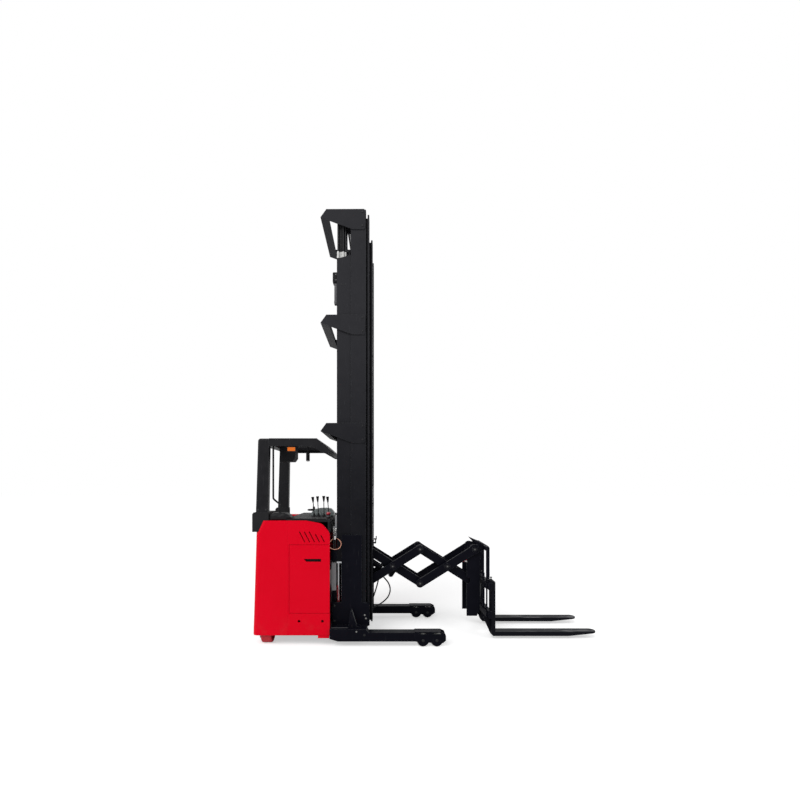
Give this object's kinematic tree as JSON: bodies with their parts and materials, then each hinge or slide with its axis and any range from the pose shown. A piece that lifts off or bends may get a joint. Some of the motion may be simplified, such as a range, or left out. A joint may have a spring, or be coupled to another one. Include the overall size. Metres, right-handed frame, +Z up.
{
  "type": "double scissor reach truck",
  "caption": "Stand-on reach truck with a tall nested mast, a double scissor reach linkage, side shift, sliding forks and outrigger legs with load wheels.",
  "frame": {"origin": "centre of the bounding box at floor level", "axes": "+X towards the fork tips, +Y to the truck's left side, +Z up"},
  "size_m": [3.842, 1.11, 4.803],
  "materials": {
    "red_paint": "gloss",
    "mast_paint": "satin",
    "chassis_paint": "satin",
    "grey_paint": "satin",
    "steel": "brushed",
    "rod_chrome": "polished",
    "fork_steel": "satin",
    "tread": "satin",
    "dark_rubber": "matte",
    "dark_plastic": "matte",
    "amber": "gloss",
    "battery": "matte"
  },
  "bodies": {
    "truck": {"base_frame": "chassis_paint", "legs": "mast_paint", "side_panel_near": "red_paint", "drive_housing": "red_paint", "side_panel_far": "red_paint", "battery_block": "battery", "operator_floor": "chassis_paint", "front_bulkhead": "chassis_paint", "console": "dark_plastic", "control_levers": "dark_plastic", "rear_casings": "dark_plastic", "armrest": "dark_plastic", "guard_posts": "mast_paint", "guard_roof": "mast_paint", "marker_lamp": "amber", "roof_fittings": "dark_plastic", "grab_bar": "mast_paint", "outer_stage": "mast_paint", "mast_brackets": "mast_paint", "mast_base": "mast_paint", "lift_barrels": "mast_paint", "mast_covers": "mast_paint", "hydraulic_unit": "grey_paint", "accumulator": "steel", "mast_hoses": "dark_rubber"},
    "middle_mast": {"middle_stage": "mast_paint", "middle_crossbars": "mast_paint", "lift_rods": "rod_chrome"},
    "inner_mast": {"inner_stage": "mast_paint", "inner_crossbars": "mast_paint", "free_lift_barrel": "mast_paint"},
    "free_lift_head": {"free_lift_rod": "rod_chrome"},
    "fork_carriage": {"carriage": "mast_paint", "reach_hose_loop": "dark_rubber", "reach_hose_short": "dark_rubber"},
    "door": {"battery_door": "red_paint"},
    "wheel_rim": {"steering_wheel": "dark_plastic"},
    "drive_turntable": {"drive_unit": "steel"},
    "drive_tyre": {"drive_wheel": "tread"},
    "caster_fork": {"caster_yoke": "steel"},
    "caster_tyre": {"caster_wheel": "tread"},
    "load_wheel_rr": {"load_wheel_right_rear": "tread"},
    "load_wheel_rf": {"load_wheel_right_front": "tread"},
    "load_wheel_lr": {"load_wheel_left_rear": "tread"},
    "load_wheel_lf": {"load_wheel_left_front": "tread"},
    "rear_inner_arm": {"arm_rear_inner": "mast_paint"},
    "rear_outer_arm": {"arm_rear_outer": "mast_paint"},
    "front_inner_arm": {"arm_front_inner": "mast_paint"},
    "front_outer_arm": {"arm_front_outer": "mast_paint"},
    "cylinder_barrels": {"reach_barrels": "mast_paint"},
    "cylinder_rods": {"reach_rods": "rod_chrome"},
    "scissor_frame": {"front_frame": "mast_paint"},
    "tilting_frame": {"tilt_frame": "mast_paint"},
    "shift_frame": {"side_shift": "mast_paint"},
    "left_fork": {"fork_left": "fork_steel"},
    "right_fork": {"fork_right": "fork_steel"}
  },
  "joints": [
    {"name": "mast_lift", "type": "slide", "parent": "truck", "child": "middle_mast", "axis": [0, 0, 1], "range_m": [0, 3.7]},
    {"name": "inner_lift", "type": "slide", "parent": "middle_mast", "child": "inner_mast", "axis": [0, 0, 1], "range_m": [0, 3.7]},
    {"name": "carriage_lift", "type": "slide", "parent": "inner_mast", "child": "fork_carriage", "axis": [0, 0, 1], "range_m": [0, 3.2]},
    {"name": "free_lift", "type": "slide", "parent": "inner_mast", "child": "free_lift_head", "axis": [0, 0, 1], "range_m": [0, 1.6]},
    {"name": "reach", "type": "hinge", "parent": "fork_carriage", "child": "rear_inner_arm", "pos_m": [-0.707, 0, 0.993], "axis": [0, 1, 0], "range_deg": [0, 46], "deforming": ["reach_hose_loop", "reach_hose_short"]},
    {"name": "rear_cross", "type": "hinge", "parent": "rear_inner_arm", "child": "rear_outer_arm", "pos_m": [-0.38898, 0, 0.79428], "axis": [0, 1, 0], "range_deg": [-92, 0]},
    {"name": "lower_middle", "type": "hinge", "parent": "rear_inner_arm", "child": "front_outer_arm", "pos_m": [-0.07096, 0, 0.59556], "axis": [0, 1, 0], "range_deg": [-92, 0]},
    {"name": "upper_middle", "type": "hinge", "parent": "rear_outer_arm", "child": "front_inner_arm", "pos_m": [-0.07096, 0, 0.993], "axis": [0, 1, 0], "range_deg": [0, 92]},
    {"name": "frame_pivot", "type": "hinge", "parent": "front_outer_arm", "child": "scissor_frame", "pos_m": [0.56507, 0, 0.993], "axis": [0, 1, 0], "range_deg": [0, 46]},
    {"name": "cylinder_swing", "type": "hinge", "parent": "fork_carriage", "child": "cylinder_barrels", "pos_m": [-0.745, 0, 0.89], "axis": [0, 1, 0], "range_deg": [0, 53.46]},
    {"name": "cylinder_stroke", "type": "slide", "parent": "cylinder_barrels", "child": "cylinder_rods", "axis": [0.8447, 0, -0.5353], "range_m": [-0.0706, 0]},
    {"name": "tilt", "type": "hinge", "parent": "scissor_frame", "child": "tilting_frame", "pos_m": [0.655, 0, 0.96], "axis": [0, 1, 0], "range_deg": [-4, 2]},
    {"name": "side_shift", "type": "slide", "parent": "tilting_frame", "child": "shift_frame", "axis": [0, 1, 0], "range_m": [-0.075, 0.075]},
    {"name": "fork_left_slide", "type": "slide", "parent": "shift_frame", "child": "left_fork", "axis": [0, 1, 0], "range_m": [-0.17, 0.03]},
    {"name": "fork_right_slide", "type": "slide", "parent": "shift_frame", "child": "right_fork", "axis": [0, -1, 0], "range_m": [-0.17, 0.03]},
    {"name": "steering", "type": "hinge", "parent": "truck", "child": "drive_turntable", "pos_m": [-1.776, -0.392, 0.249], "axis": [0, 0, 1], "range_deg": [0, 180]},
    {"name": "drive_spin", "type": "hinge", "parent": "drive_turntable", "child": "drive_tyre", "pos_m": [-1.776, -0.392, 0.11], "axis": [1, 0, 0], "continuous": true},
    {"name": "caster_swivel", "type": "hinge", "parent": "truck", "child": "caster_fork", "pos_m": [-1.776, 0.392, 0.205], "axis": [0, 0, 1], "continuous": true},
    {"name": "caster_spin", "type": "hinge", "parent": "caster_fork", "child": "caster_tyre", "pos_m": [-1.812, 0.392, 0.075], "axis": [0, 1, 0], "continuous": true},
    {"name": "helm", "type": "hinge", "parent": "truck", "child": "wheel_rim", "pos_m": [-1.346, 0.19, 1.43], "axis": [0, 0, 1], "continuous": true},
    {"name": "door_hinge", "type": "hinge", "parent": "truck", "child": "door", "pos_m": [-1.086, -0.518, 0.7], "axis": [0, 0, 1], "range_deg": [0, 100]},
    {"name": "load_spin_rr", "type": "hinge", "parent": "truck", "child": "load_wheel_rr", "pos_m": [-0.07, -0.5, 0.07], "axis": [0, 1, 0], "continuous": true},
    {"name": "load_spin_rf", "type": "hinge", "parent": "truck", "child": "load_wheel_rf", "pos_m": [0.079, -0.5, 0.07], "axis": [0, 1, 0], "continuous": true},
    {"name": "load_spin_lr", "type": "hinge", "parent": "truck", "child": "load_wheel_lr", "pos_m": [-0.07, 0.5, 0.07], "axis": [0, 1, 0], "continuous": true},
    {"name": "load_spin_lf", "type": "hinge", "parent": "truck", "child": "load_wheel_lf", "pos_m": [0.079, 0.5, 0.07], "axis": [0, 1, 0], "continuous": true}
  ],
  "couplings": [
    {"joint": "inner_lift", "follows": "mast_lift", "ratio": 1},
    {"joint": "free_lift", "follows": "carriage_lift", "ratio": 0.5},
    {"joint": "rear_cross", "follows": "reach", "ratio": -2},
    {"joint": "lower_middle", "follows": "reach", "ratio": -2},
    {"joint": "upper_middle", "follows": "reach", "ratio": 2},
    {"joint": "frame_pivot", "follows": "reach", "ratio": 1},
    {"joint": "cylinder_swing", "follows": "reach", "ratio": 1.162},
    {"joint": "cylinder_stroke", "follows": "reach", "m_per_rad": -0.0878}
  ]
}
